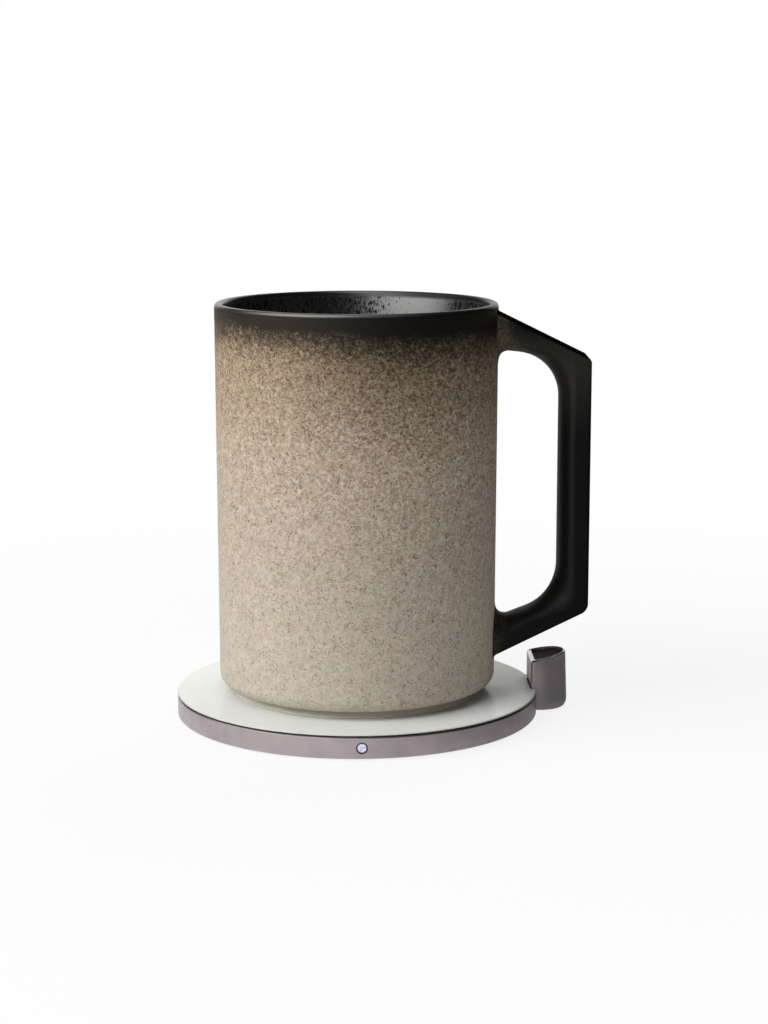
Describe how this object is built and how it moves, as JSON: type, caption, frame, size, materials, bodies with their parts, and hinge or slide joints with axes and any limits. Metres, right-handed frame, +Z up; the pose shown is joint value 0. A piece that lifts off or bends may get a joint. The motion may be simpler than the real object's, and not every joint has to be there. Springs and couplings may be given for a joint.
{
  "type": "self-heating mug with warming pad",
  "caption": "Stoneware mug with an angular handle and a heated base, on a thin round wireless warming pad with an edge post, a power key and an indicator.",
  "frame": {"origin": "on the pad's axis, on the surface that the silicone mat rests on", "axes": "+Z up along the mug's axis, +X towards the handle, +Y away from the indicator's side"},
  "size_m": [0.1207, 0.1062, 0.1216],
  "materials": {
    "stoneware": "matt speckled stoneware that darkens to near black at the rim",
    "black_glaze": "satin black glaze",
    "white_plate": "satin white moulding",
    "mauve_metal": "fine satin anodised",
    "dark_key": "satin moulded",
    "black_plastic": "fine textured moulding",
    "foot_grey": "matt olive-grey moulding",
    "indigo_ring": "smooth dark indigo",
    "silicone": "matt",
    "steel": "plain",
    "copper": "enamelled copper wire",
    "ferrite": "sintered, matt",
    "board": "solder mask",
    "white_insulation": "pressed fibre and film",
    "lens": "clear, lit from behind"
  },
  "bodies": {
    "pad": {"top_plate": "white_plate", "rim_shell": "mauve_metal", "post_shell": "mauve_metal", "post_plate": "mauve_metal", "plate_gasket": "black_plastic", "base_cover": "black_plastic", "coil_tray": "black_plastic", "plate_sensor": "black_plastic", "board_chips": "black_plastic", "board_connector": "black_plastic", "usb_tongue": "black_plastic", "button_switch": "black_plastic", "led_bezel": "indigo_ring", "anti_slip_mat": "silicone", "cover_screws": "steel", "post_screws": "steel", "usb_socket_shell": "steel", "transmitter_coil": "copper", "transmitter_ferrite": "ferrite", "circuit_board": "board", "post_board": "board", "ribbon_cable": "white_insulation", "led_lens": "lens", "status_led": "lens"},
    "key": {"power_button": "dark_key", "button_retainer": "steel", "switch_plunger": "steel"},
    "mug": {"mug_body": "stoneware", "mug_handle": "black_glaze", "base_cap": "foot_grey", "base_seal": "silicone", "receiver_coil": "copper", "receiver_ferrite": "ferrite", "receiver_board": "board", "rectifier_chips": "black_plastic", "insulation_pad": "white_insulation", "heater_disc": "steel", "thermostat": "black_plastic", "heater_leads": "copper"}
  },
  "joints": [
    {"name": "mug_lift", "type": "slide", "parent": "pad", "child": "mug", "axis": [0, 0, 1], "range_m": [0, 0.12]},
    {"name": "key_press", "type": "slide", "parent": "pad", "child": "key", "axis": [0, 0, -1], "range_m": [0, 0.0006], "stiffness_N_per_m": 3000, "springref_m": -0.0003}
  ]
}
